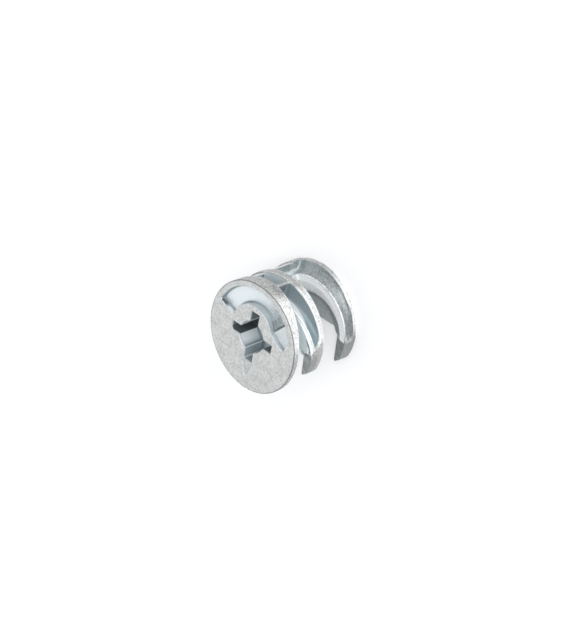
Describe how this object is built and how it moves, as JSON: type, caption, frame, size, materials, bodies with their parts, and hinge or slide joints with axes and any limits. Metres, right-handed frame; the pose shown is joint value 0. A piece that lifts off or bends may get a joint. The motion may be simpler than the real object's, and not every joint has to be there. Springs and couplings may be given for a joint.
{
  "type": "cam lock connector",
  "caption": "Round zinc cam housing for flat-pack furniture: a driven head, a bolt mouth in the side, and curved jaws beside a slot that draw the bolt in when turned.",
  "frame": {"origin": "on the housing's axis at its rear end, at the centre of the box's lower face", "axes": "+Z along the housing's axis from the rear end to the driven head, -Y towards the mouth where the bolt enters, +X towards the open neck slot"},
  "size_m": [0.015, 0.015, 0.0115],
  "materials": {
    "zinc_casting": "satin bright zinc plating over a zinc die casting"
  },
  "bodies": {
    "root": {"cam_housing": "zinc_casting"}
  },
  "joints": []
}
